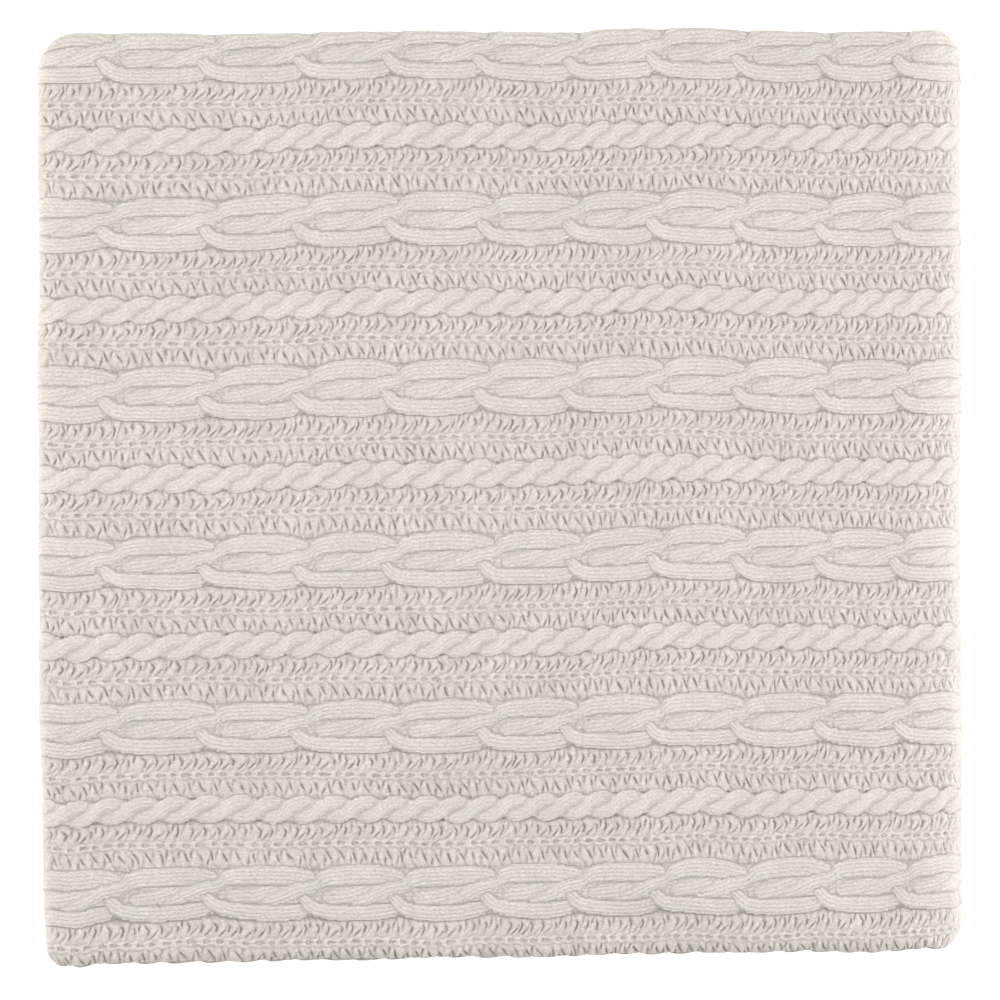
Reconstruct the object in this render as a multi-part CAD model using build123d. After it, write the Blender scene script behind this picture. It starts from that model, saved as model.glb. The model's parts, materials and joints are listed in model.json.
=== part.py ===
from build123d import *
import os

# A cable-knit throw, folded in three across its width and then twice in half
# along its length, so that it lies as a square stack twelve layers high.
#
# Frame: millimetres, +Z up. The origin is on the surface that the throw rests on,
# under the middle of the stack. X runs along the cloth's length, Y across it.

os.makedirs("parts", exist_ok=True)

# Driving dimensions

CLOTH_THICKNESS = 4.2    # knitted cloth, as pressed flat by the stack
LAYER_GAP = 0.3          # air between two layers that lie on each other
FOLD_RUN = 392.8         # flat run of cloth between the folds at the two ends
FOLDED_WIDTH = 433.0     # overall size across the stack
EDGE_SETBACK = 1.5       # how far a flap's free edge stops short of the fold beyond it
HEM_LENGTH = 11.35       # knitted rib band at each end of the cloth
LABEL_LENGTH = 45.0      # care label, from its stitched end to its loose end
LABEL_WIDTH = 30.0
LABEL_THICKNESS = 0.2
LABEL_OVERHANG = 1.5     # how far the label shows past the hem that it is sewn to
LABEL_FROM_SIDE = 60.0   # from the stack's outer side fold to the label

# The stack: layer 0 lies on the ground and layer 11 is on top. Every quarter of the
# cloth's length holds three layers: its centre panel and the two flaps folded onto it.

LAYER_PITCH = CLOTH_THICKNESS + LAYER_GAP

QUARTERS = {
    "bottom_quarter": {"centre": 0, "inner": 1, "outer": 2},
    "second_quarter": {"centre": 5, "inner": 4, "outer": 3},
    "third_quarter": {"centre": 6, "inner": 7, "outer": 8},
    "top_quarter": {"centre": 11, "inner": 10, "outer": 9},
}
BOTTOM_LAYER = 0
TOP_LAYER = 11


def layer_floor(layer):
    """Height of a layer's underside."""
    return layer * LAYER_PITCH


def layer_roof(layer):
    """Height of a layer's upper side."""
    return layer_floor(layer) + CLOTH_THICKNESS


def fold_radius(layer, other):
    """Outer radius of a fold that joins two layers."""
    low, high = sorted((layer, other))
    return (layer_roof(high) - layer_floor(low)) / 2


def fold_height(layer, other):
    """Height of the axis of a fold that joins two layers."""
    low, high = sorted((layer, other))
    return (layer_roof(high) + layer_floor(low)) / 2


# Places of the fold lines. The stack's box is centred on the origin.

BOTTOM = QUARTERS["bottom_quarter"]
THIRD = QUARTERS["third_quarter"]
TOP = QUARTERS["top_quarter"]

RIGHT_REACH = fold_radius(BOTTOM["centre"], TOP["centre"])
LEFT_REACH = fold_radius(THIRD["centre"], TOP["centre"])
OVERALL_LENGTH = LEFT_REACH + FOLD_RUN + RIGHT_REACH
LEFT_LINE = LEFT_REACH - OVERALL_LENGTH / 2
RIGHT_LINE = OVERALL_LENGTH / 2 - RIGHT_REACH

INNER_LINE = FOLDED_WIDTH / 2 - fold_radius(BOTTOM["centre"], BOTTOM["inner"])
OUTER_LINE = fold_radius(BOTTOM["centre"], BOTTOM["outer"]) - FOLDED_WIDTH / 2


def band(start, stop, layer):
    """Section of a flat panel: a strip from one Y to another, in one layer."""
    centre = Pos((start + stop) / 2, layer_floor(layer) + CLOTH_THICKNESS / 2)
    return centre * Rectangle(stop - start, CLOTH_THICKNESS)


def side_fold(line, layer, other, side):
    """Section of a fold along the side of the stack: half a ring, bulging to one side."""
    outer = fold_radius(layer, other)
    ring = Circle(outer) - Circle(outer - CLOTH_THICKNESS)
    half = ring & Pos(side * outer, 0) * Rectangle(2 * outer, 4 * outer)
    return Pos(line, fold_height(layer, other)) * half


def sections(quarter):
    """Sections of one quarter's five stretches of cloth, in the Y-Z plane."""
    centre = quarter["centre"]
    inner = quarter["inner"]
    outer = quarter["outer"]
    return {
        "centre_panel": band(OUTER_LINE, INNER_LINE, centre),
        "inner_side_fold": side_fold(INNER_LINE, centre, inner, 1),
        "inner_flap": band(OUTER_LINE + EDGE_SETBACK, INNER_LINE, inner),
        "outer_side_fold": side_fold(OUTER_LINE, centre, outer, -1),
        "outer_flap": band(OUTER_LINE, INNER_LINE - EDGE_SETBACK, outer),
    }


def flat_run(section, start, length):
    """A stretch of cloth that lies flat along X."""
    return extrude(Plane.YZ.offset(start) * section, amount=length)


def end_turn(section, line, height, direction):
    """A stretch of cloth that turns half round, over an end of the stack."""
    axis = Axis((line, 0, height), (0, direction, 0))
    return revolve(Plane.YZ.offset(line) * section, axis, 180)


def build_quarter(name):
    """The flat part of one quarter of the throw, panel by panel."""
    parts = {}
    for stretch, section in sections(QUARTERS[name]).items():
        parts[f"{name}_{stretch}"] = flat_run(section, LEFT_LINE, FOLD_RUN)
    return parts


def build_turn(name, lower, upper, line, direction):
    """The turned part between two quarters, panel by panel."""
    low = QUARTERS[lower]
    high = QUARTERS[upper]
    height = fold_height(low["centre"], high["centre"])
    parts = {}
    for stretch, section in sections(low).items():
        parts[f"{name}_{stretch}"] = end_turn(section, line, height, direction)
    return parts


def build_hem(quarter):
    """The rib band across one end of the cloth, folded with it."""
    bands = sections(QUARTERS[quarter]).values()
    strips = [flat_run(section, LEFT_LINE - HEM_LENGTH, HEM_LENGTH) for section in bands]
    return strips[0].fuse(*strips[1:])


def build_label():
    """The blank care label, sewn to the start hem and lying between two layers."""
    below = layer_roof(BOTTOM["outer"])
    start = LEFT_LINE - HEM_LENGTH - LABEL_OVERHANG
    side = OUTER_LINE + LABEL_FROM_SIDE
    label = Box(LABEL_LENGTH, LABEL_WIDTH, LABEL_THICKNESS, align=Align.MIN)
    return Pos(start, side, below + (LAYER_GAP - LABEL_THICKNESS) / 2) * label


def build_throw():
    """Every piece of the folded throw, by name."""
    parts = {}
    for name in QUARTERS:
        parts.update(build_quarter(name))
    parts.update(build_turn("outer_end_turn", "bottom_quarter", "top_quarter", RIGHT_LINE, -1))
    parts.update(build_turn("inner_end_turn", "second_quarter", "third_quarter", RIGHT_LINE, -1))
    parts.update(build_turn("upper_end_turn", "third_quarter", "top_quarter", LEFT_LINE, 1))
    parts["start_hem"] = build_hem("bottom_quarter")
    parts["finish_hem"] = build_hem("second_quarter")
    parts["care_label"] = build_label()
    return parts


throw = build_throw()
for name, part in throw.items():
    export_step(part, f"parts/{name}.step")

height = layer_roof(TOP_LAYER) - layer_floor(BOTTOM_LAYER)
print(f"{len(throw)} pieces, {OVERALL_LENGTH:.2f} x {FOLDED_WIDTH:.2f} x {height:.2f} mm")
print(f"fold lines: X {LEFT_LINE:.2f} and {RIGHT_LINE:.2f}, Y {OUTER_LINE:.2f} and {INNER_LINE:.2f}")
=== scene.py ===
# %% [markdown]
# # A folded cable-knit throw
#
# The throw is one knitted cloth, folded in three across its width and then twice in
# half along its length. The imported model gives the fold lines, the layers and the
# hinge. This lesson knits the cloth as a height over flat cloth coordinates, folds it
# by the same lines, lets it settle like a real stack, and gives it its yarn.

# %% Load the frame
import math
import json

import bpy
import numpy as np
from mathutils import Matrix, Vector


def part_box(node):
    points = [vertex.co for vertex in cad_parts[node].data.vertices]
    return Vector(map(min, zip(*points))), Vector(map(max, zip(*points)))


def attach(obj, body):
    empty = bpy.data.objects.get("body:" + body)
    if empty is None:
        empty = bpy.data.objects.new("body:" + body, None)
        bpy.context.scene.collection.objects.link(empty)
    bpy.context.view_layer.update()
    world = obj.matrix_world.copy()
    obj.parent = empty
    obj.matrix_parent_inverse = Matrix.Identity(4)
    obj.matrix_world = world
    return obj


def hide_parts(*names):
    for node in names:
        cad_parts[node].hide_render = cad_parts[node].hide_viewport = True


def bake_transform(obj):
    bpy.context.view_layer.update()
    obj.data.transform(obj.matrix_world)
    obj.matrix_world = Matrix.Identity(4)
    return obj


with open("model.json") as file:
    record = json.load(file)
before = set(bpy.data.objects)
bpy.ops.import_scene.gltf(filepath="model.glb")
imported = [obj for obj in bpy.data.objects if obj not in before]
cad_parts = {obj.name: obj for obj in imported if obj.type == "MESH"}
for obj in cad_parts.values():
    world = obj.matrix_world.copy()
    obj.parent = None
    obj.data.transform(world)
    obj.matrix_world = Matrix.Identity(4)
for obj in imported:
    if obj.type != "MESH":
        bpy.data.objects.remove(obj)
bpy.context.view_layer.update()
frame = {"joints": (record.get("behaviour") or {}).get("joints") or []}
MM = 0.001

# %% [markdown]
# ## The camera
#
# The throw is seen from straight above. A long lens a few metres up draws the top and
# the bottom of the stack at almost the same size, and the frame is a little wider than
# the throw. A short lens from nearer would draw the high parts larger than the low ones.

# %% Set the camera
VIEW_WIDTH = 0.4681      # how much of the scene the frame takes in, at the throw
LENS = 200.0
SENSOR = 36.0
AIM_HEIGHT = 0.035       # the height where the outline is widest
AIM_Y = -0.0021


def add_camera():
    """A camera that looks straight down and frames the throw."""
    data = bpy.data.cameras.new("camera")
    data.lens = LENS
    data.sensor_width = SENSOR
    camera = bpy.data.objects.new("camera", data)
    bpy.context.scene.collection.objects.link(camera)
    distance = VIEW_WIDTH * LENS / SENSOR
    camera.location = (0.0, AIM_Y, AIM_HEIGHT + distance)
    bpy.context.scene.camera = camera
    print(f"camera {camera.location.z:.3f} m up, {LENS:.0f} mm lens")


add_camera()

# %% [markdown]
# ## The fold lines
#
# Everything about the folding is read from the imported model: where the flat runs end,
# how thick a layer is, and where each layer lies. They could be typed in again, but
# then the cloth could drift away from the model. Lengths are in millimetres from here
# on, because that is how a knitter measures, and become metres when a mesh is made.

# %% Read the fold lines from the frame


def box_mm(node):
    """The lowest and highest corners of a node of the model."""
    low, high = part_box(node)
    return np.array(low) / MM, np.array(high) / MM


panel_low, panel_high = box_mm("top_quarter_centre_panel")
LEFT_LINE, RIGHT_LINE = panel_low[0], panel_high[0]
OUTER_LINE, INNER_LINE = panel_low[1], panel_high[1]
THICK = panel_high[2] - panel_low[2]
PITCH = box_mm("bottom_quarter_inner_flap")[0][2] - box_mm("bottom_quarter_centre_panel")[0][2]
HALF_X = box_mm("outer_end_turn_centre_panel")[1][0]
HALF_Y = box_mm("top_quarter_inner_side_fold")[1][1]
HEM = LEFT_LINE - box_mm("start_hem")[0][0]
SETBACK = INNER_LINE - box_mm("top_quarter_outer_flap")[1][1]
STACK = panel_high[2]
HINGE = np.array(frame["joints"][0]["pos_m"]) / MM
INNER_BEND = PITCH / 2       # mid radius of the fold between the centre and the inner flap
OUTER_BEND = PITCH           # and of the one between the centre and the outer flap
FLAP_RUN = INNER_LINE - OUTER_LINE - SETBACK
print(f"lines X {LEFT_LINE:.2f} {RIGHT_LINE:.2f}, Y {OUTER_LINE:.2f} {INNER_LINE:.2f}")
print(f"cloth {THICK:.2f} thick, layers {PITCH:.2f} apart, stack {STACK:.2f} high")

# %% [markdown]
# ## The cloth's own coordinates
#
# `w` runs along the cloth's length and is 0 at the middle of the top face. `v` runs
# across its width. `n` is the distance from the middle of the cloth's thickness,
# towards the side with the cables. First the width is folded: this gives how far
# across a point lies, and how far above or below the centre panel.

# %% Fold the width in three
V_INNER_BEND = INNER_LINE + math.pi * INNER_BEND
V_OUTER_BEND = OUTER_LINE - math.pi * OUTER_BEND
V_MAX = V_INNER_BEND + FLAP_RUN
V_MIN = V_OUTER_BEND - FLAP_RUN


def fold_width(v, n):
    """Across position and rise over the centre panel's middle, for points of the cloth."""
    turn_in = np.clip((v - INNER_LINE) / INNER_BEND, 0, math.pi)
    turn_out = np.clip((OUTER_LINE - v) / OUTER_BEND, 0, math.pi)
    past_in = np.maximum(v - V_INNER_BEND, 0)
    past_out = np.maximum(V_OUTER_BEND - v, 0)
    flat = np.clip(v, OUTER_LINE, INNER_LINE)
    across = flat + (INNER_BEND + n) * np.sin(turn_in) - past_in
    across += past_out - (OUTER_BEND + n) * np.sin(turn_out)
    rise = np.where(turn_in > 0, (INNER_BEND + n) * np.cos(turn_in) - INNER_BEND, n)
    rise = np.where(turn_out > 0, (OUTER_BEND + n) * np.cos(turn_out) - OUTER_BEND, rise)
    return across, rise


print(f"flat width {V_MAX - V_MIN:.0f} mm")

# %% [markdown]
# Then the length is folded in half twice. Each stretch of the cloth is either a flat
# quarter or a half turn, and a stretch says where its middle surface lies.

# %% Fold the length in four


def layer_middle(node):
    """The height of the middle of a layer's thickness."""
    low, high = box_mm(node)
    return (low[2] + high[2]) / 2


TOP_Z = layer_middle("top_quarter_centre_panel")
THIRD_Z = layer_middle("third_quarter_centre_panel")
SECOND_Z = layer_middle("second_quarter_centre_panel")
BOTTOM_Z = layer_middle("bottom_quarter_centre_panel")
RUN = RIGHT_LINE - LEFT_LINE
OUTER_TURN = (TOP_Z - BOTTOM_Z) / 2
UPPER_TURN = (TOP_Z - THIRD_Z) / 2
INNER_TURN = (THIRD_Z - SECOND_Z) / 2

W_BOTTOM = RIGHT_LINE + math.pi * OUTER_TURN
W_THIRD = LEFT_LINE - math.pi * UPPER_TURN
W_SECOND = W_THIRD - RUN - math.pi * INNER_TURN

FLATS = {  # first w, x there, which way x goes, height, which way the cables face
    "top_quarter": (LEFT_LINE, LEFT_LINE, 1, TOP_Z, 1),
    "bottom_quarter": (W_BOTTOM, RIGHT_LINE, -1, BOTTOM_Z, -1),
    "third_quarter": (W_THIRD, LEFT_LINE, -1, THIRD_Z, -1),
    "second_quarter": (W_SECOND, RIGHT_LINE, 1, SECOND_Z, 1),
}
TURNS = {  # first w, line, which side it bulges, axis height, radius, which way cables face
    "outer_end_turn": (RIGHT_LINE, RIGHT_LINE, 1, (TOP_Z + BOTTOM_Z) / 2, OUTER_TURN, 1),
    "upper_end_turn": (LEFT_LINE, LEFT_LINE, -1, (TOP_Z + THIRD_Z) / 2, UPPER_TURN, 1),
    "inner_end_turn": (W_THIRD - RUN, RIGHT_LINE, 1, HINGE[2], INNER_TURN, -1),
}


def fold_length(stretch, w, rise):
    """X and Z of points of a stretch, from their place along the cloth and their rise."""
    if stretch in FLATS:
        start, x, way, z, facing = FLATS[stretch]
        return x + way * (w - start), np.broadcast_to(z + facing * rise, w.shape)
    start, line, side, height, radius, facing = TURNS[stretch]
    angle = np.abs(w - start) / radius
    reach = radius + facing * rise
    return line + side * reach * np.sin(angle), height + reach * np.cos(angle)


print(f"flat length {(W_BOTTOM + RUN - W_SECOND + RUN + 2 * HEM):.0f} mm")

# %% [markdown]
# ## The stitch pattern
#
# Across the width the pattern repeats: a wide braided cable, purl, one column of knit,
# purl, a narrow two-strand cable, and the same back again. Each strand of a cable is a
# soft ridge along its own route, and where two cross, the higher one is in front. So
# the whole pattern is one height over the flat cloth: the highest strand at each point.
# The strands could also be tubes that wind round each other. But real cables are part
# of the cloth, and a height keeps it one closed surface that folds as a whole.

# %% Sizes of the pattern
REPEAT = 78.0          # across, from one wide cable to the next
WIDE_AT = 49.4         # the middle of one wide cable, across
WIDE_HALF = 12.7
PURL_NEAR = 7.9        # purl beside the wide cable
RIB = 4.2
NARROW_HALF = 6.6
PURL_FAR = REPEAT / 2 - WIDE_HALF - PURL_NEAR - RIB - NARROW_HALF
CROSSING = 41.0        # along, from one crossing of the wide cable to the next
TIGHTER = 3.2e-4       # the knitting is pulled tighter to one side, per millimetre
PULLED = (-215.0, 230.0)
FIRST_CROSSING = 0.107
NARROW_TURN = CROSSING / 3
NARROW_PHASE = 0.31
ROW = CROSSING / 15
FLOOR = -0.7           # bottom of the purl, measured from the cloth's middle
DEEP = -3.0            # under everything


def wander(x, y, size, seed):
    """A smooth field between about -1 and 1 that changes over about one size."""
    rng = np.random.default_rng(seed)
    total = np.zeros(np.broadcast(x, y).shape)
    for _ in range(6):
        heading, phase = rng.uniform(0, 2 * math.pi, 2)
        wave = 2 * math.pi / (size * rng.uniform(0.8, 1.7))
        total += np.sin((x * math.cos(heading) + y * math.sin(heading)) * wave + phase)
    return total / 3


def luck(number, seed):
    """A different value between -1 and 1 for every whole number."""
    mixed = np.sin(number * 12.9898 + seed * 78.233) * 43758.5453
    return 2 * (mixed - np.floor(mixed)) - 1


def between(value, low, high, edge=0.15):
    """1 between two values, easing to 0 outside them."""
    rise = np.clip((value - low) / edge, 0, 1) * np.clip((high - value) / edge, 0, 1)
    return rise * rise * (3 - 2 * rise)


def smooth_route(knots, soften=0.07):
    """A strand's route, from knots of (along, across, half width, crest), as a dense table."""
    knots = np.array(knots)
    dense = np.linspace(knots[0, 0], knots[-1, 0], 600)
    kernel = np.hanning(2 * int(soften / (dense[1] - dense[0]) / 2) + 3)
    kernel /= kernel.sum()
    columns = [dense]
    for column in knots.T[1:]:
        line = np.interp(dense, knots[:, 0], column)
        padded = np.pad(line, len(kernel) // 2, mode="edge")
        columns.append(np.convolve(padded, kernel, mode="valid"))
    return np.array(columns)


def strand(route, unit, along, across, drop):
    """Height over a strand, and where on it each point is. along is in units, across in mm."""
    middle = np.interp(along, route[0], route[1])
    slope = np.interp(along, route[0], np.gradient(route[1], route[0])) / unit
    half = np.interp(along, route[0], route[2])
    crest = np.interp(along, route[0], route[3])
    level = np.cos(np.arctan(slope))
    off = (across - middle) * level
    dome = np.sqrt(np.clip(1 - (off / half) ** 2, 0, 1))
    inside = (along >= route[0][0]) & (along <= route[0][-1]) & (np.abs(off) < half)
    height = np.where(inside, crest - drop * (1 - dome), DEEP)
    return height, off, along * unit / np.maximum(level, 0.5)


print(f"pattern repeats every {REPEAT:.0f} mm, rows of stitches {ROW:.2f} mm apart")

# %% [markdown]
# The wide cable is braided from three strands. A knot of a route says how far along it
# is, as a share of one crossing, how far across, how wide half the strand is, and how
# high its crest lies.

# %% The strands of the wide cable
over_strand = smooth_route([
    (0.34, -4.4, 1.3, 0.7), (0.44, -3.7, 2.0, 1.2), (0.56, -2.5, 2.8, 1.6),
    (0.68, -0.5, 3.2, 1.9), (0.80, 1.7, 3.2, 2.0), (0.90, 2.5, 3.1, 2.0),
    (0.97, 2.9, 3.0, 2.0), (1.02, 4.0, 3.0, 2.1), (1.06, 5.9, 3.2, 2.1), (1.11, 7.0, 3.7, 2.0),
    (1.20, 7.8, 4.3, 1.8), (1.45, 8.4, 4.5, 1.6), (1.70, 8.2, 4.5, 1.5), (1.86, 7.3, 4.3, 1.4),
    (1.96, 6.4, 4.0, 1.2), (2.06, 5.9, 3.6, 0.9)], soften=0.05)
under_strand = smooth_route([
    (-0.24, 0.2, 2.0, 0.5), (-0.16, -1.8, 3.0, 1.4), (-0.08, -5.0, 3.4, 1.9),
    (0.00, -7.3, 3.6, 2.1), (0.10, -8.3, 3.8, 1.9), (0.40, -9.0, 3.9, 1.6),
    (0.64, -8.9, 4.0, 1.4), (0.78, -8.2, 4.0, 1.2), (0.90, -7.3, 3.8, 1.0), (1.02, -6.8, 3.4, 0.7)])
heart_strand = smooth_route([
    (0.00, -2.0, 2.0, 0.5), (0.09, -1.9, 3.1, 1.0), (0.20, -1.3, 3.8, 1.3),
    (0.35, -0.8, 3.4, 1.6), (0.45, 0.5, 2.9, 1.6), (0.55, 1.8, 2.4, 1.2),
    (0.65, 2.8, 1.9, 1.0), (0.74, 3.4, 1.4, 0.6)])
WIDE_BED = 0.85        # the cloth seen between the strands
WIDE_DROP = 0.6        # from a strand's crest down to its sides
WIDE_FLATTER = 0.82    # the braid is pressed to this share of its height
WIDE_LIFT = 0.25       # and then raised by this much
CLOTH_MARGIN = 2.0     # the cloth between the strands ends this far inside the braid
STRAND_OFFSET = 0.37   # so that the lines of stitches on two strands don't run on


def highest(layers):
    """Where strands lie over each other, the one in front."""
    height, off, along = layers[0]
    for number, (other, other_off, other_along) in enumerate(layers[1:], 1):
        front = other > height
        height = np.where(front, other, height)
        off = np.where(front, other_off + STRAND_OFFSET * number, off)
        along = np.where(front, other_along, along)
    return height, off, along


def wide_cable(turn, across):
    """The braid, as the highest of its strands."""
    share = turn % 1.0
    passes = [(over_strand, 0), (over_strand, 1), (under_strand, 0), (under_strand, -1),
              (heart_strand, 0)]
    bed = np.where(np.abs(across) < WIDE_HALF - CLOTH_MARGIN, WIDE_BED, DEEP)
    layers = [strand(route, CROSSING, share + shift, across, WIDE_DROP) for route, shift in passes]
    height, off, along = highest([(bed, across, share * CROSSING)] + layers)
    return WIDE_FLATTER * height + WIDE_LIFT, off, along


print(f"wide cable {2 * WIDE_HALF:.1f} mm across, a crossing every {CROSSING:.0f} mm")

# %% [markdown]
# The narrow cable has one route, taken by one strand after another. Each strand comes up
# from the lower side, passes over the one before, and sinks at the upper side.

# %% The narrow cable
rope_strand = smooth_route([
    (-0.92, -3.8, 1.5, 0.4), (-0.80, -3.8, 2.2, 0.7), (-0.65, -3.8, 2.8, 1.1),
    (-0.48, -3.5, 3.2, 1.45), (-0.30, -3.0, 3.2, 1.75), (-0.16, -1.9, 3.0, 1.95),
    (0.00, 0.0, 3.0, 2.05), (0.16, 1.9, 3.0, 1.95), (0.30, 3.0, 3.2, 1.75),
    (0.48, 3.5, 3.2, 1.45), (0.65, 3.8, 2.8, 1.1), (0.80, 3.8, 2.2, 0.7), (0.92, 3.8, 1.5, 0.4)],
    soften=0.10)
NARROW_BED = 0.65
NARROW_DROP = 0.9
NARROW_FLATTER = 0.70
NARROW_LIFT = 0.35
NARROW_MARGIN = 1.8


def narrow_cable(turn, across):
    """Strands that cross from the lower side to the upper, one after another."""
    share = (turn * 3 - NARROW_PHASE + 0.5) % 1.0 - 0.5
    bed = np.where(np.abs(across) < NARROW_HALF - NARROW_MARGIN, NARROW_BED, DEEP)
    layers = [strand(rope_strand, NARROW_TURN, share + shift, across, NARROW_DROP)
              for shift in (-1, 0, 1)]
    height, off, along = highest([(bed, across, share * NARROW_TURN)] + layers)
    return NARROW_FLATTER * height + NARROW_LIFT, off, along


print(f"narrow cable {2 * NARROW_HALF:.1f} mm across, a crossing every {NARROW_TURN:.1f} mm")

# %% [markdown]
# Purl is the back of the stitches: little pads with slits between them. No two slits
# are quite alike, so each one's lean, length, place and depth come from its own number.
# A repeating bump picture would be quicker, but it looks printed as soon as it repeats.

# %% Purl and knit columns
SLIT_LEAN = 0.50       # how far a slit leans over half the band's width, in rows
SLIT_BOW = 0.55        # how far it bends there, below a cable
LEAN_BACK = -0.85      # the light slits lean the other way
LIGHT_AT = 0.52        # where a light slit lies, as a share of half the band
PURL_HEIGHT = 1.15     # the pads' middle height over the floor
PAD_SWELL = 0.32
DEEP_LENGTH, DEEP_STRENGTH = 0.58, 0.85
LIGHT_LENGTH, LIGHT_STRENGTH = 0.44, 0.62
SLIT_FADE = 0.25       # how soon a slit fades at its ends, as a share of half the band
# Along a cable's edge every slit of the purl is at least this strong, so it sinks and gets painted
# shade there.
BESIDE_CABLE = 0.45    # the strength of the shadow along a cable's edge
SLIT_DEPTH = 0.75
KNIT_HEIGHT = 1.60
HOLE_DEPTH = 1.2
HOLE_AT = 0.22         # the middle of a hole, as a share of a stitch


def purl(row, across, half, seed, above):
    """Little pads with leaning slits between them, every second one deep and long.

    Above a cable the deep slits lean one way, and below one they bend half way. The
    light ones between them lean back. Gives the height, a phase that is whole in the
    middle of each slit, and the slit's strength.
    """
    level = across / half
    beside = np.where(above, -level, level)
    place = row + luck(seed, 3) + np.where(above, SLIT_LEAN * level, SLIT_BOW * np.abs(level - 0.1))
    number = np.round(place)
    deep = np.mod(number, 2) == 0
    centre = np.where(deep, 0.15 * luck(number, seed + 4), LIGHT_AT * np.sign(luck(number, seed + 5)))
    length = np.where(deep, DEEP_LENGTH + 0.16 * luck(number, seed + 6), LIGHT_LENGTH)
    turn = np.where(deep, 0.22 * luck(number, seed + 7), LEAN_BACK)
    phase = place + 0.14 * luck(number, seed) + turn * (level - centre)
    strength = np.where(deep, DEEP_STRENGTH + 0.15 * luck(number, seed + 1),
                        LIGHT_STRENGTH + 0.30 * luck(number, seed + 2))
    slit = strength * np.clip((length - np.abs(level - centre)) / SLIT_FADE, 0, 1)
    slit = np.maximum(slit, BESIDE_CABLE * np.clip((beside - 0.82) / 0.14, 0, 1))
    away = np.clip(np.abs(phase - number) * 2, 0, 1)
    pads = PAD_SWELL * (2 * away - 1) * np.cos(1.2 * level)
    pads += 0.20 * luck(np.floor(phase), seed + 8) * away
    return FLOOR + PURL_HEIGHT + pads - SLIT_DEPTH * slit * (1 - away) ** 2, phase, slit


def knit_column(row, across):
    """One column of knit stitches: two soft legs, and a hole where each stitch begins.

    Gives the height, a phase that is whole in the middle of each hole, and its strength.
    """
    column = row / 2
    number = np.floor(column)
    share = column - number
    out = np.abs(across - 0.25 * luck(number, 33))
    edge = RIB / 2 + 0.4 + 0.25 * np.cos(2 * math.pi * share)
    body = np.clip(1 - (np.abs(across) / edge) ** 4, 0, 1)
    opening = np.clip(1 - share / (0.40 + 0.12 * luck(number, 35)), 0, 1)
    hole = between(share, 0.0, 0.55, 0.05) * np.exp(-(out / (0.20 + 0.80 * opening)) ** 2)
    strength = 0.85 + 0.15 * luck(number, 31)
    groove = np.exp(-(out / 0.3) ** 2)
    legs = 0.16 * np.cos(2 * math.pi * (share - 0.12 * out + 0.2))
    height = FLOOR + KNIT_HEIGHT * np.sqrt(body) + legs - HOLE_DEPTH * strength * hole - 0.3 * groove
    phase = column - HOLE_AT + 0.05 * luck(number, 37)
    return np.where(body > 0, height, DEEP), phase, strength * np.exp(-(out / 0.75) ** 2)


print(f"purl bands {PURL_NEAR:.1f} and {PURL_FAR:.1f} mm wide, knit column {RIB:.1f} mm")

# %% [markdown]
# Now the columns and cables are put side by side. The cloth was pulled a little while it
# was folded, so the rows and the columns both wander. Neighbours overlap at their edges,
# and the higher one wins.

# %% The height of the whole pattern
NARROW_WALE = 0.65     # the narrow cable shows its lines of stitches less
LUMPS = 0.12           # the height of the slight unevenness everywhere


def knit_height(w, v):
    """Height over the cloth's middle, and the coordinates that the yarn and its shading follow."""
    pulled = np.clip(w, *PULLED)
    slack = w + 1.6 * wander(w, v, 130, 5) + 0.5 * wander(w, v, 38, 6)
    turn = (slack + TIGHTER * pulled ** 2) / CROSSING + FIRST_CROSSING
    row = turn * 15 + 0.25 * wander(w, v, 12, 9)
    drift = 1.3 * wander(w, v, 190, 7) + 0.45 * wander(w, v, 45, 8)
    off = (v + drift - WIDE_AT + REPEAT / 2) % REPEAT - REPEAT / 2
    side = np.where(off < 0, -1.0, 1.0)
    out = np.abs(off)
    rib_near = WIDE_HALF + PURL_NEAR
    rib_far = rib_near + RIB
    narrow_near = rib_far + PURL_FAR
    height = np.full(w.shape, FLOOR)
    fields = {name: np.zeros(w.shape) for name in ("across", "along", "wale", "phase", "slit")}

    def put(where, found, **values):
        front = found > height[where]
        height[where] = np.where(front, found, height[where])
        for name in fields:
            fields[name][where] = np.where(front, values.get(name, 0.0), fields[name][where])

    for lane, (near, far) in enumerate(((WIDE_HALF, rib_near), (rib_far, narrow_near))):
        band = (out > near - 2.6) & (out < far + 1.5)
        across = side[band] * (out[band] - (near + far) / 2)
        seed = 2.0 * lane + (side[band] > 0) + 1.0
        above = (side[band] > 0) == (lane == 0)
        found, phase, slit = purl(row[band], across, (far - near) / 2, seed, above)
        put(band, found, across=out[band], along=row[band] * ROW, phase=phase, slit=slit)
    band = (out > rib_near - 0.6) & (out < rib_far + 0.6)
    across = side[band] * (out[band] - (rib_near + rib_far) / 2)
    found, phase, slit = knit_column(row[band], across)
    put(band, found, across=across, along=row[band] * ROW, phase=phase, slit=slit)
    band = out < WIDE_HALF + 1
    found, across, along = wide_cable(turn[band], off[band])
    put(band, found, across=across, along=along, wale=1.0)
    band = out > narrow_near - 1
    found, across, along = narrow_cable(turn[band], off[band] - side[band] * REPEAT / 2)
    put(band, found, across=across, along=along, wale=NARROW_WALE)
    height += LUMPS * wander(w, v, 9, 11)
    return height, fields


sample, _ = knit_height(*np.meshgrid(np.arange(0, CROSSING), np.arange(0, REPEAT), indexing="ij"))
print(f"relief over one repeat: {sample.min():.1f} to {sample.max():.1f} mm")

# %% [markdown]
# ## Settling
#
# A folded throw isn't a drawing of itself. Its corners are round, its edges wander by
# a few millimetres, and the layers press into each other. One change of place, the same
# for every piece, gives all of that, and the layers keep their order. Apart from a hair
# of room, it moves nothing along x at the line of the book fold. So the two halves meet
# there when the stack is laid open, with a small step in height. A cloth simulation
# could settle the stack too, but with this many points it would be slow.

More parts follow.
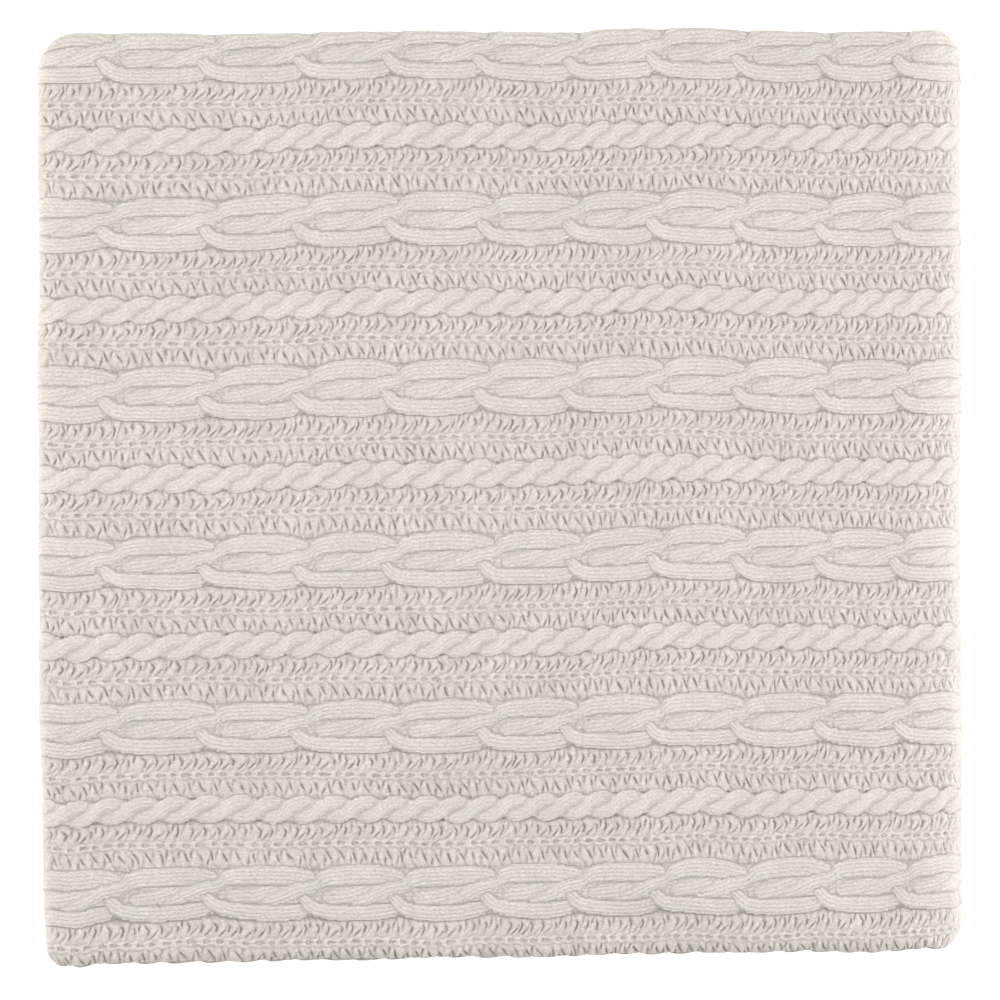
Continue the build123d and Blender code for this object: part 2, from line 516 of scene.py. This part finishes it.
# %% Settle the stack
OPENING_ROOM = 0.05    # between the two halves of the opened stack and the hinge line
CORNER = {(-1, 1): 19.5, (1, 1): 14.5, (1, -1): 13.0, (-1, -1): 9.0}


def bump(x, at, width):
    """A smooth rise to 1 at one place, and back to 0 on both sides."""
    return np.exp(-((x - at) / width) ** 2)


def settle(x, y, z):
    """Moves points of the drawn stack, in mm, to where they lie in the settled one."""
    fx, fy = np.clip(x / HALF_X, -1, 1), np.clip(y / HALF_Y, -1, 1)
    for (side_x, side_y), size in CORNER.items():
        i = np.clip((side_x * x - (HALF_X - size)) / size, 0, 1)
        j = np.clip((side_y * y - (HALF_Y - size)) / size, 0, 1)
        x = x - side_x * size * i * (1 - np.sqrt(1 - j * j / 2))
        y = y - side_y * size * j * (1 - np.sqrt(1 - i * i / 2))
    level = z / STACK
    # The long sides: each leans, bulges in a place or two, and wanders.
    far = 0.4 * fx + 1.9 * bump(x, 62, 26) * level + 1.4 * bump(x, 98, 32)
    far = far + 0.5 * wander(x, z * 4, 60, 21)
    near = 0.2 + 3.6 * fx - 2.4 * bump(x, -78, 20) * bump(level, 0.45, 0.3)
    near = near + 0.5 * wander(x, z * 4, 55, 22) - 1.6 * bump(x, -201, 9)
    # The two ends: the left one draws in towards the near corner.
    left = 4.2 * np.clip((-y - 60) / 156, 0, 1) ** 1.4 + 0.5 * wander(y, z * 3, 70, 23)
    right = 0.7 + 0.6 * np.clip((-y - 80) / 80, 0, 1) + 0.5 * wander(y, z * 2, 120, 24)
    y = y + near + (far - near) * (fy + 1) / 2
    leftness = np.clip((RIGHT_LINE - x) / (RIGHT_LINE + HALF_X), 0, 1)
    rightness = np.clip((x - RIGHT_LINE) / (HALF_X - RIGHT_LINE), 0, 1)
    x = x + left * leftness + right * rightness - OPENING_ROOM
    # The layers press into each other unevenly.
    z = z * (1 + 0.022 * wander(x, y, 120, 25) + 0.010 * wander(x, y, 50, 26))
    return x, y, z


far_corner = np.array([[HALF_X], [HALF_Y], [STACK]])
moved = np.array(settle(*far_corner)) - far_corner
print("settling moves the far right corner by", moved.ravel().round(1), "mm")

# %% [markdown]
# ## Making a stretch of cloth
#
# A piece is a closed sheet. Its cabled side is a fine grid of points, its plain side a
# coarser one, and a narrow rim joins the two. The grid is denser over purl and knit
# columns, where the stitches are small, than over the cables. A Solidify modifier could
# add the plain side, but it would be as fine as the cabled one, at twice the triangles.

# %% The grid of a piece, and its closed sheet
BACK_SKIP = 4          # the plain side keeps every fourth point


def rows_between(start, stop, fine, plain):
    """Positions across the cloth, closer together where the stitches are small."""
    places = [start]
    while places[-1] < stop:
        off = abs((places[-1] - WIDE_AT + REPEAT / 2) % REPEAT - REPEAT / 2)
        cable = off < WIDE_HALF - 1 or off > REPEAT / 2 - NARROW_HALF + 1
        places.append(places[-1] + (plain if cable else fine))
    spread = np.array(places)
    return start + (spread - start) * (stop - start) / (spread[-1] - start)


def soften(field, times=3):
    """A local average over the grid, to tell low points from crests, for calming the cables and for the
    painted shade.
    """
    field = np.pad(field, times, mode="reflect", reflect_type="odd")
    for _ in range(times):
        field = (field[2:] + field[:-2] + 2 * field[1:-1]) / 4
        field = (field[:, 2:] + field[:, :-2] + 2 * field[:, 1:-1]) / 4
    return field


def closed_sheet(front, back):
    """Vertices and faces of a sheet from its two grids; back holds every few points."""
    rows, columns = front.shape[:2]
    pick_i = np.unique(np.append(np.arange(0, rows, BACK_SKIP), rows - 1))
    pick_j = np.unique(np.append(np.arange(0, columns, BACK_SKIP), columns - 1))
    back = back[np.ix_(pick_i, pick_j)]
    number = np.arange(rows * columns).reshape(rows, columns)
    behind = rows * columns + np.arange(back.shape[0] * back.shape[1]).reshape(back.shape[:2])

    def quads(n):
        return np.stack([n[:-1, :-1], n[1:, :-1], n[1:, 1:], n[:-1, 1:]], -1).reshape(-1, 4)

    faces = quads(number).tolist() + quads(behind)[:, ::-1].tolist()
    sides = len(faces)
    edges = [(number[:, 0], behind[:, 0], pick_i, 1), (number[:, -1], behind[:, -1], pick_i, -1),
             (number[0], behind[0], pick_j, -1), (number[-1], behind[-1], pick_j, 1)]
    for fine, coarse, pick, way in edges:
        for k in range(len(pick) - 1):
            run = fine[pick[k]:pick[k + 1] + 1].tolist()
            face = run[::-1] + [int(coarse[k]), int(coarse[k + 1])]
            faces.append(face[::way])
    across_i, across_j = np.arange(rows) / (rows - 1), np.arange(columns) / (columns - 1)
    share = [np.stack(np.meshgrid(i, j, indexing="ij"), -1).reshape(-1, 2)
             for i, j in ((across_i, across_j), (across_i[pick_i], across_j[pick_j]))]
    rim = [sides, sides + len(pick_i) - 1, sides + 2 * len(pick_i) - 2,
           sides + 2 * len(pick_i) + len(pick_j) - 3]
    points = np.concatenate([front.reshape(-1, 3), back.reshape(-1, 3)])
    return points, faces, (np.concatenate(share), rows * columns, (rows - 1) * (columns - 1), rim)


print("a grid of 9 by 9 points makes", len(closed_sheet(*np.zeros((2, 9, 9, 3)))[1]), "faces")

# %% [markdown]
# A piece also needs a flat map, so that its colours can be baked through one. The
# cabled side gets most of the room, the plain side a strip, and the rim a few lanes.

# %% The map and the sharp edge
FRONT_ROOM = (0.01, 0.76)    # where each side begins on the map, and how wide it is
BACK_ROOM = (0.79, 0.15)
RIM_START = 0.955
RIM_LANE = 0.011             # from one lane of the rim to the next
RIM_WIDTH = 0.006


def lay_map(mesh, share, front_points, front_faces, rim):
    """The map that colours are baked through: a field for each side, lanes for the rim."""
    corner = np.zeros(len(mesh.loops), np.int32)
    sizes = np.zeros(len(mesh.polygons), np.int32)
    mesh.loops.foreach_get("vertex_index", corner)
    mesh.polygons.foreach_get("loop_total", sizes)
    face = np.repeat(np.arange(len(sizes)), sizes)
    behind = corner >= front_points
    across = np.where(face < front_faces, FRONT_ROOM[0] + FRONT_ROOM[1] * share[corner, 0],
                      BACK_ROOM[0] + BACK_ROOM[1] * share[corner, 0])
    up = share[corner, 1]
    lane = np.searchsorted(rim, face, side="right") - 1
    on_rim = lane >= 0
    across[on_rim] = (RIM_START + RIM_LANE * lane + RIM_WIDTH * behind)[on_rim]
    up = np.where(on_rim & (lane < 2), share[corner, 0], up)
    layout = np.stack([across, 0.01 + 0.98 * up], -1).astype(np.float32)
    mesh.uv_layers.new(name="OFBake").data.foreach_set("uv", layout.ravel())


def keep_border_sharp(mesh, shape):
    """The rim meets the cabled side at a sharp edge, so it doesn't bend the light near it."""
    border = np.zeros(len(mesh.vertices), bool)
    grid = border[:shape[0] * shape[1]].reshape(shape)
    grid[[0, -1]] = True
    grid[:, [0, -1]] = True
    ends = np.zeros(2 * len(mesh.edges), np.int32)
    mesh.edges.foreach_get("vertices", ends)
    sharp = border[ends].reshape(-1, 2).all(1)
    mesh.attributes.new("sharp_edge", "BOOLEAN", "EDGE").data.foreach_set("value", sharp)


print(f"map: {FRONT_ROOM[1]:.0%} of the width for the cabled side, {BACK_ROOM[1]:.0%} for the plain")

# %% [markdown]
# Now a piece can be knitted flat and folded. Where the cloth goes round an end turn it is
# pulled tight, so the pattern sinks towards one height there. The crests of the cables
# are calmed a little, and how deep each point lies is kept, for painted shade in the
# hollows and painted light on the crests.

# %% Knit one piece and fold it
STRETCHED = 1.6        # height of the pattern where it is pulled flat over a fold
TIGHT_FROM = 0.72      # how far round a fold the pull begins, as a share of its bulge
TIGHT_OVER = 0.16      # and over how much more of the bulge it grows
CABLE_CALM = 0.85      # how much of its roughness a cable loses
SKIN = 0.1             # the highest strand ends this far under the layer's surface


def faces_out(front, back):
    """Whether the grid's faces, as they are numbered, look away from the plain side."""
    along = front[1:, :-1] - front[:-1, :-1]
    across = front[:-1, 1:] - front[:-1, :-1]
    outward = front[:-1, :-1] - back[:-1, :-1]
    return float((np.cross(along, across) * outward).sum()) > 0


def sheet_object(name, front, back):
    """An object with a closed sheet for its mesh, faces outward, and its map."""
    points, faces, layout = closed_sheet(front, back)
    mesh = bpy.data.meshes.new(name)
    if not faces_out(front, back):
        faces = [face[::-1] for face in faces]
    mesh.from_pydata(points, [], faces)
    piece = bpy.data.objects.new(name, mesh)
    bpy.context.scene.collection.objects.link(piece)
    mesh.shade_smooth()
    keep_border_sharp(mesh, front.shape[:2])
    lay_map(mesh, *layout)
    return piece


def knit_piece(name, stretch, w_range, v_range, step, fine=None, plain=None, relief=1.0,
               pattern=knit_height):
    """One piece of the cloth, knitted flat and then folded to its place in the stack."""
    count = max(2, int(math.ceil(abs(w_range[1] - w_range[0]) / step)))
    w_line = np.linspace(w_range[0], w_range[1], count + 1)
    v_line = rows_between(v_range[0], v_range[1], fine or step, plain or step)
    w, v = np.meshgrid(w_line, v_line, indexing="ij")
    height, fields = pattern(w, v)
    if stretch in TURNS:
        start, _, _, _, radius, _ = TURNS[stretch]
        tight = np.clip((np.sin(np.abs(w - start) / radius) - TIGHT_FROM) / TIGHT_OVER, 0, 1)
        height += 0.75 * tight * (STRETCHED - height)
        for field in ("wale", "slit"):
            fields[field] = fields[field] * (1 - 0.7 * tight)
    height += CABLE_CALM * fields["wale"] ** 2 * (soften(height, 4) - height)
    # Painted shade and light: a point lower than its neighbours, or low in the pattern, is darkened in
    # the yarn's colour, and a point above them is paled.
    sunk = (soften(height) - height) / 0.5 + (1.1 - height) / 2.2
    fields["painted_shade_and_light"] = np.clip(sunk, -1, 1)
    height = THICK / 2 - SKIN + relief * (np.minimum(height, THICK / 2) - THICK / 2)
    sides = []
    for n in (height, np.full(w.shape, -THICK / 2)):
        y, rise = fold_width(v, n)
        x, z = fold_length(stretch, w, rise)
        sides.append(np.stack(settle(x, y, z), -1) * MM)
    piece = sheet_object(name, *sides)
    mesh = piece.data
    for field, values in fields.items():
        data = np.zeros(len(mesh.vertices), np.float32)
        data[:w.size] = values.ravel()
        mesh.attributes.new(field, "FLOAT", "POINT").data.foreach_set("value", data)
    return piece


print(f"crests end {SKIN} mm under the layer's surface")

# %% [markdown]
# ## Yarn
#
# The yarn is a matt, slightly hairy cotton blend in oatmeal, spun from paler and darker
# fibres. Its colour is flecked along the strands, painted shade darkens it in the hollows,
# grooves and slits between stitches, painted light pales it on the crests, and a soft sheen
# lifts it where it turns away. The lines of stitches on a cable follow each strand, so they
# are drawn on the strand's own coordinates.
# A picture of yarn would need no nodes, but it would stretch at the folds and repeat.

# %% Nodes, by name


class Recipe:
    """A material whose nodes are added and linked in one line each."""

    def __init__(self, name):
        self.material = bpy.data.materials.new(name)
        self.material.use_nodes = True
        self.tree = self.material.node_tree
        self.tree.nodes.clear()
        self.surface = self.add("ShaderNodeBsdfPrincipled")
        output = self.add("ShaderNodeOutputMaterial")
        self.tree.links.new(self.surface.outputs["BSDF"], output.inputs["Surface"])

    def add(self, kind, inputs=None, **settings):
        node = self.tree.nodes.new(kind)
        for key, value in settings.items():
            setattr(node, key, value)
        for key, value in (inputs or {}).items():
            self.feed(node.inputs[key], value)
        return node

    def feed(self, socket, value):
        if isinstance(value, bpy.types.NodeSocket):
            self.tree.links.new(value, socket)
        else:
            socket.default_value = value

    def field(self, name):
        return self.add("ShaderNodeAttribute", attribute_name=name).outputs["Fac"]

    def calc(self, kind, *values):
        node = self.add("ShaderNodeMath", operation=kind)
        for socket, value in zip(node.inputs, values):
            self.feed(socket, value)
        return node.outputs[0]

    def noise(self, place, scale, detail=3.0, roughness=0.6):
        inputs = {"Scale": scale, "Detail": detail, "Roughness": roughness, "Vector": place}
        return self.add("ShaderNodeTexNoise", inputs).outputs["Fac"]

    def blend(self, share, first, second, mode="MIX"):
        """A mix of two colours. Its colour sockets share their names, so they go by number."""
        node = self.add("ShaderNodeMix", data_type="RGBA", blend_type=mode)
        self.feed(node.inputs["Factor"], share)
        self.feed(node.inputs[6], first)
        self.feed(node.inputs[7], second)
        return node.outputs[2]

    def span(self, value, low, high, to_low=0.0, to_high=1.0):
        inputs = {"Value": value, "From Min": low, "From Max": high,
                  "To Min": to_low, "To Max": to_high}
        return self.add("ShaderNodeMapRange", inputs).outputs["Result"]


# %% [markdown]
# The slits of the purl and the holes of the knit columns are finer than the grid of a
# piece. Their phase is smooth, so the darkest line of each is drawn here instead, as
# a bump and as painted shade in the colour.

# %% The yarn
OATMEAL = (0.566, 0.514, 0.449, 1.0)
PALE_FIBRE = (0.774, 0.726, 0.662, 1.0)
# The colour that painted shade darkens the yarn towards, in hollows, grooves and slits.
PAINTED_SHADE_COLOUR = (0.30, 0.25, 0.195, 1.0)
SUNK_PAINTED_SHADE = 0.36     # how dark each kind of shadow gets
GROOVE_PAINTED_SHADE = 0.20
SLIT_PAINTED_SHADE = 0.92
CUT_SPAN = (0.04, 0.21)      # from the full dark of a slit to none, as shares of a stitch
WALES = 1.9                  # from one line of stitches to the next on a cable, in mm
LINE_SWAY = 2.27             # how often the lines of stitches sway along a strand
LINE_JITTER = 3.4            # how uneven they are


def make_yarn(name, flecked):
    """Matt heathered yarn, with flecked as the share of pale fibre."""
    recipe = Recipe(name)
    place = recipe.add("ShaderNodeTexCoord").outputs["Object"]
    across = recipe.field("across")
    along = recipe.field("along")
    strand_place = recipe.add("ShaderNodeCombineXYZ", {"X": recipe.calc("MULTIPLY", across, 2.4),
                                                       "Y": recipe.calc("MULTIPLY", along, 0.45)})
    # Three sizes of unevenness: fibres along the strand, fluff, and a slow mottle.
    fibre = recipe.noise(strand_place.outputs[0], 1.0, 4.0)
    fluff = recipe.noise(place, 900.0, 4.0, 0.7)
    mottle = recipe.noise(place, 42.0, 3.0)
    mixed = recipe.calc("ADD", recipe.calc("MULTIPLY", fibre, 0.5), recipe.calc("MULTIPLY", fluff, 0.5))
    # The lines between the columns of stitches on a cable: a bump, and painted shade in the colour.
    sway = recipe.calc("SINE", recipe.calc("MULTIPLY", along, LINE_SWAY))
    lean = recipe.calc("MULTIPLY", sway, 0.45)
    line = recipe.calc("ADD", recipe.calc("MULTIPLY", across, 2 * math.pi / WALES), lean)
    jitter = recipe.calc("MULTIPLY", recipe.noise(place, 190.0, 3.0), LINE_JITTER)
    line = recipe.calc("ADD", line, jitter)
    groove = recipe.span(recipe.calc("COSINE", line), -1.0, 0.3, 1.0, 0.0)
    groove = recipe.calc("MULTIPLY", groove, recipe.field("wale"))
    # The dark line in each slit of the purl and each hole of a knit column: painted shade
    # in the colour, and a bump.
    from_slit = recipe.calc("PINGPONG", recipe.field("phase"), 0.5)
    cut = recipe.span(from_slit, *CUT_SPAN, 1.0, 0.0)
    cut = recipe.calc("MULTIPLY", cut, recipe.field("slit"))
    # Colour: pale fibre over oatmeal, mottled, with painted light on the crests
    # and painted shade in the hollows, grooves and slits.
    painted_shade_and_light = recipe.field("painted_shade_and_light")
    pale = recipe.calc("SUBTRACT", recipe.span(mixed, 0.40, 0.60, 0.0, flecked),
                       recipe.calc("MULTIPLY", painted_shade_and_light, 0.35))
    colour = recipe.blend(recipe.calc("MAXIMUM", pale, 0.0), OATMEAL, PALE_FIBRE)
    shade = recipe.span(mottle, 0.3, 0.7, 0.95, 1.04)
    colour = recipe.blend(1.0, colour, recipe.add("ShaderNodeCombineColor", {
        "Red": shade, "Green": shade, "Blue": shade}).outputs[0], "MULTIPLY")
    painted_shade_mix = recipe.calc("MAXIMUM", recipe.calc("MULTIPLY", painted_shade_and_light, SUNK_PAINTED_SHADE),
                        recipe.calc("MULTIPLY", groove, GROOVE_PAINTED_SHADE))
    painted_shade_mix = recipe.calc("MAXIMUM", painted_shade_mix, recipe.calc("MULTIPLY", cut, SLIT_PAINTED_SHADE))
    colour = recipe.blend(painted_shade_mix, colour, PAINTED_SHADE_COLOUR)
    recipe.feed(recipe.surface.inputs["Base Color"], colour)
    # Surface: matt, with a little sheen, and fine relief that the mesh is too coarse for.
    recipe.surface.inputs["Roughness"].default_value = 0.92
    recipe.surface.inputs["Specular IOR Level"].default_value = 0.15
    recipe.surface.inputs["Sheen Weight"].default_value = 0.25
    recipe.surface.inputs["Sheen Roughness"].default_value = 0.6
    relief = recipe.calc("SUBTRACT", recipe.calc("MULTIPLY", mixed, 1.3),
                         recipe.calc("MULTIPLY", groove, 0.40))
    relief = recipe.calc("SUBTRACT", relief, recipe.calc("MULTIPLY", cut, 0.9))
    bump_node = recipe.add("ShaderNodeBump", {"Strength": 0.80, "Distance": 0.0007, "Height": relief})
    recipe.feed(recipe.surface.inputs["Normal"], bump_node.outputs[0])
    return recipe.material


def make_satin(name):
    """Blank woven ribbon: fine threads crossing, off-white, with a slight gloss."""
    recipe = Recipe(name)
    place = recipe.add("ShaderNodeTexCoord").outputs["Object"]
    threads = [recipe.add("ShaderNodeTexWave", {"Scale": 900.0, "Distortion": 0.6, "Vector": place},
                          bands_direction=way).outputs["Fac"] for way in ("X", "Y")]
    weave = recipe.calc("MULTIPLY", *threads)
    tone = recipe.blend(weave, (0.66, 0.64, 0.60, 1.0), (0.80, 0.785, 0.75, 1.0))
    recipe.feed(recipe.surface.inputs["Base Color"], tone)
    recipe.surface.inputs["Roughness"].default_value = 0.45
    recipe.feed(recipe.surface.inputs["Normal"], recipe.add(
        "ShaderNodeBump", {"Strength": 0.3, "Distance": 0.0001, "Height": weave}).outputs[0])
    return recipe.material


oatmeal_yarn = make_yarn("oatmeal_yarn", 0.9)
hem_yarn = make_yarn("hem_yarn", 0.7)
satin = make_satin("woven_label")
print("materials:", [m.name for m in (oatmeal_yarn, hem_yarn, satin)])

# %% [markdown]
# ## The pieces
#
# The top face gets the finest grid, one piece for each cable or group of stitches, and
# the folds that show are nearly as fine. Layers inside the stack need less. One piece
# for the whole top would be simpler, but past 200,000 triangles its file is thinned.

# %% Knit the pieces
TOP_STEP, TOP_FINE, TOP_PLAIN = 0.66, 0.56, 0.85
V_SHELL = (V_OUTER_BEND, V_INNER_BEND)     # the centre panel with its two side folds
SPANS = {
    "top_quarter": (LEFT_LINE, RIGHT_LINE),
    "outer_end_turn": (RIGHT_LINE, W_BOTTOM),
    "bottom_quarter": (W_BOTTOM, W_BOTTOM + RUN),
    "upper_end_turn": (W_THIRD, LEFT_LINE),
    "third_quarter": (W_THIRD - RUN, W_THIRD),
    "inner_end_turn": (W_SECOND, W_THIRD - RUN),
    "second_quarter": (W_SECOND - RUN, W_SECOND),
}
UPPER = ("top_quarter", "upper_end_turn", "third_quarter")
pieces = []


def declare(piece, stretch, w_range, v_range, nodes, length=None):
    """Gives a finished piece its yarn, hides the nodes it stands for, and keeps it with its flat size.
    """
    piece.data.materials.append(oatmeal_yarn)
    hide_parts(*nodes)
    flat = ((length or w_range[1] - w_range[0]) * MM, (v_range[1] - v_range[0]) * MM)
    pieces.append((piece, stretch, flat))


def add_cloth(name, stretch, v_range, nodes, step, fine=None, plain=None, relief=1.0, length=None):
    """One piece of a stretch, with its steps along it, over purl and over cables, in mm."""
    piece = knit_piece(name, stretch, SPANS[stretch], v_range, step, fine, plain, relief)
    declare(piece, stretch, SPANS[stretch], v_range, nodes, length)


def top_bands():
    """Where the top face divides: in the purl on both sides of each wide cable."""
    half = WIDE_HALF + PURL_NEAR / 2
    middles = WIDE_AT + REPEAT * np.arange(-3, 3)
    cuts = [c for m in middles for c in (m - half, m + half)]
    return [V_SHELL[0]] + [c for c in cuts if V_SHELL[0] + 9 < c < V_SHELL[1] - 9] + [V_SHELL[1]]


cuts = top_bands()
for number, v_range in enumerate(zip(cuts[:-1], cuts[1:]), 1):
    nodes = ["top_quarter_centre_panel"]
    if number == 1:
        nodes.append("top_quarter_outer_side_fold")
    if number == len(cuts) - 1:
        nodes.append("top_quarter_inner_side_fold")
    add_cloth(f"top_stitch_band_{number:02d}", "top_quarter", v_range, nodes,
              TOP_STEP, TOP_FINE, TOP_PLAIN)
print(f"top face: {len(pieces)} bands")

# %% [markdown]
# The two end turns that show are nearly as fine as the top. The one inside is coarser
# and nearly smooth, because there is no room in it for the cables to stand up.

# %% The folds at the ends
TIGHT_RELIEF = 0.35
V_INNER_FLAP = (V_INNER_BEND, V_MAX)
V_OUTER_FLAP = (V_MIN, V_OUTER_BEND)
SHELL_NODES = ("_centre_panel", "_inner_side_fold", "_outer_side_fold")

for stretch, step, fine, plain in (("outer_end_turn", 0.78, 0.62, 0.9),
                                   ("upper_end_turn", 0.62, 0.62, 0.9),
                                   ("inner_end_turn", 0.90, 1.3, 1.3)):
    relief = TIGHT_RELIEF if stretch == "inner_end_turn" else 1.0
    add_cloth(f"{stretch}_cloth", stretch, V_SHELL, [stretch + s for s in SHELL_NODES],
              step, fine, plain, relief)
print(f"{len(pieces)} pieces with the end turns")

# %% [markdown]
# The other quarters show at the sides of the stack, and two of them on top when it is
# opened. A strip along each side is fine, and the rest is coarser. The flaps lie inside
# and hardly show, so they are coarse and nearly smooth.

# %% The quarters inside and underneath
EDGE_BAND = 8.0        # the strip along each side that is knitted more finely
EDGE_STEP = 0.95
FLAP_STEP = 5.0
TURNED_FLAP_STEP = 2.0
FLAP_RELIEF = 0.12
for stretch, step in (("third_quarter", 1.45), ("second_quarter", 1.45), ("bottom_quarter", 1.6)):
    near, far = OUTER_LINE + EDGE_BAND, INNER_LINE - EDGE_BAND
    add_cloth(f"{stretch}_cloth", stretch, (near, far), [f"{stretch}_centre_panel"], step)
    add_cloth(f"{stretch}_inner_fold", stretch, (far, V_INNER_BEND),
              [f"{stretch}_inner_side_fold"], EDGE_STEP)
    add_cloth(f"{stretch}_outer_fold", stretch, (V_OUTER_BEND, near),
              [f"{stretch}_outer_side_fold"], EDGE_STEP)

for stretch in SPANS:
    turned = stretch in TURNS
    for flap, v_range, drop in (("inner", V_INNER_FLAP, PITCH), ("outer", V_OUTER_FLAP, 2 * PITCH)):
        length = None
        if turned:
            _, _, _, _, radius, facing = TURNS[stretch]
            length = math.pi * (radius - facing * drop)
        add_cloth(f"{stretch}_{flap}_flap_cloth", stretch, v_range, [f"{stretch}_{flap}_flap"],
                  TURNED_FLAP_STEP if turned else FLAP_STEP, FLAP_STEP, FLAP_STEP,
                  FLAP_RELIEF, length)
print(f"{len(pieces)} pieces of cloth")

# %% [markdown]
# Each end of the cloth has a rib hem, in the same yarn with fewer pale fibres. A hem is
# knitted on with the cloth, so it is folded with the same lines as the quarter it ends.

# %% The hems
HEM_RIB = 5.4          # from one rib of the hem to the next
HEM_STEP, HEM_FINE = 1.0, 0.9
HEM_RELIEF = 0.8


def rib_height(w, v):
    """Plain ribs that run along the cloth, each a column of knit stitches."""
    across = (v + 0.5 * wander(w, v, 60, 41)) % HEM_RIB - HEM_RIB / 2
    height, phase, slit = knit_column(w / ROW + 0.3 * wander(w, v, 40, 42), across * 0.8)
    fields = {name: np.zeros(w.shape) for name in ("across", "along", "wale", "phase", "slit")}
    fields["phase"] = phase
    fields["slit"] = slit
    return np.maximum(height, FLOOR), fields


for hem, stretch, start in (("start_hem", "bottom_quarter", W_BOTTOM + RUN),
                            ("finish_hem", "second_quarter", W_SECOND - RUN - HEM)):
    span = (start, start + HEM)
    piece = knit_piece(f"{hem}_rib", stretch, span, (V_MIN, V_MAX), HEM_STEP, HEM_FINE, HEM_FINE,
                       HEM_RELIEF, rib_height)
    declare(piece, stretch, span, (V_MIN, V_MAX), [hem])
    piece.data.materials[0] = hem_yarn
print(f"two hems, {HEM:.2f} mm deep, ribs {HEM_RIB} mm apart")

# %% [markdown]
# The care label is a blank strip of woven satin, sewn to the hem and lying between two
# layers. Only its end shows, at the left side.

# %% The care label
LABEL_GRID = 1.0


def weave_label():
    """A thin closed strip between the hems, settled with the stack."""
    low, high = box_mm("care_label")
    sides = []
    for z in (high[2], low[2]):
        x_line = np.arange(low[0], high[0] + 0.01, LABEL_GRID)
        y_line = np.arange(low[1], high[1] + 0.01, LABEL_GRID)
        x, y = np.meshgrid(x_line, y_line, indexing="ij")
        sides.append(np.stack(settle(x, y, np.full(x.shape, z)), -1) * MM)
    label = sheet_object("woven_care_label", *sides)
    label.data.materials.append(satin)
    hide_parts("care_label")
    pieces.append((label, "bottom_quarter", tuple((high - low)[:2] * MM)))
    print("label:", (high - low).round(2), "mm")


weave_label()

# %% [markdown]
# The stack opens like a book, so each piece rides on its half. The cloth of the outer
# and inner end turns belongs to both, so it is left where it lies, on neither half. Riding
# on one half only, it would tear away from the other.

# %% Let each piece move with its half of the stack
for piece, stretch, _ in pieces:
    if stretch in ("outer_end_turn", "inner_end_turn"):
        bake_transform(piece)
    else:
        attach(piece, "upper_half" if stretch in UPPER else "lower_half")
triangles = sum(len(p.data.loops) - 2 * len(p.data.polygons) for p, _, _ in pieces)
print(f"{triangles} triangles")

# %% [markdown]

# %% [markdown]
# ## The studio
#
# A white table under two large soft lights, one on each side, with a weaker one above.
# Light from the sides rakes over the stitches and shows their relief. One lamp above
# would be even, but it would make the knitting look flat.

# %% Floor, lights and world


def add_light(name, place, size, power, aim=(0, 0, 0)):
    """A soft rectangular lamp, turned towards the throw."""
    data = bpy.data.lights.new(name, "AREA")
    data.shape = "RECTANGLE"
    data.size, data.size_y = size
    data.energy = power
    light = bpy.data.objects.new(name, data)
    light.location = place
    light.rotation_euler = (Vector(aim) - Vector(place)).to_track_quat("-Z", "Y").to_euler()
    bpy.context.scene.collection.objects.link(light)
    return light


def add_floor():
    """The table, which is not part of the throw."""
    bpy.ops.object.select_all(action="DESELECT")
    bpy.ops.mesh.primitive_plane_add(size=12.0, location=(0, 0, -0.0006))
    floor = bpy.context.object
    floor.name = "studio_floor"
    recipe = Recipe("studio_floor")
    place = recipe.add("ShaderNodeTexCoord").outputs["Object"]
    tone = recipe.span(recipe.noise(place, 3.0, 2.0), 0.0, 1.0, 0.93, 0.95)
    recipe.feed(recipe.surface.inputs["Base Color"], recipe.add("ShaderNodeCombineColor", {
        "Red": tone, "Green": tone, "Blue": tone}).outputs[0])
    recipe.surface.inputs["Roughness"].default_value = 0.9
    recipe.surface.inputs["Emission Color"].default_value = (1, 1, 1, 1)
    recipe.surface.inputs["Emission Strength"].default_value = 0.55
    floor.data.materials.append(recipe.material)


add_floor()
add_light("softbox_left", (-0.95, 0.15, 0.70), (0.8, 1.2), 9.7)
add_light("softbox_right", (0.95, 0.05, 0.80), (0.8, 1.2), 11.8)
add_light("overhead", (0.0, 0.3, 2.2), (2.0, 2.0), 6.5)

world = bpy.data.worlds.new("studio")
world.use_nodes = True
world.node_tree.nodes["Background"].inputs["Color"].default_value = (1, 1, 1, 1)
world.node_tree.nodes["Background"].inputs["Strength"].default_value = 0.42
bpy.context.scene.world = world
bpy.context.scene.view_settings.view_transform = "Standard"
